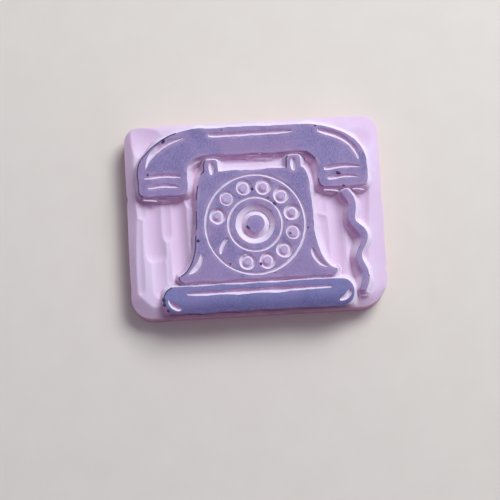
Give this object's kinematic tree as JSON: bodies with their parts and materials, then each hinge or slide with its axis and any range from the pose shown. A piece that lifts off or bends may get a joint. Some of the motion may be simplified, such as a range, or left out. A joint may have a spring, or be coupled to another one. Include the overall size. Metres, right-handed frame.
{
  "type": "hand stamp",
  "caption": "Hand-carved rubber stamp block: raised rotary telephone with inked lands, V-cut lines, scooped background and a flat back, for printing by hand.",
  "frame": {"origin": "middle of the block's flat back, which lies on the table", "axes": "+X along the block's long side, +Y along its short side towards the handset, +Z from the flat back up to the printing face"},
  "size_m": [0.064, 0.0488, 0.0096],
  "materials": {
    "rubber": "satin",
    "ink": "matte"
  },
  "bodies": {
    "root": {"carved_block": "rubber", "ink_handset": "ink", "ink_body": "ink", "ink_plinth": "ink", "ink_cord_line": "ink", "ink_dial_plate": "ink", "ink_dial_ring": "ink", "ink_dial_hub": "ink", "ink_dot_01": "ink", "ink_dot_02": "ink", "ink_dot_03": "ink", "ink_dot_04": "ink", "ink_dot_05": "ink", "ink_dot_06": "ink", "ink_dot_07": "ink", "ink_dot_08": "ink", "ink_dot_09": "ink", "ink_dot_10": "ink"}
  },
  "joints": []
}
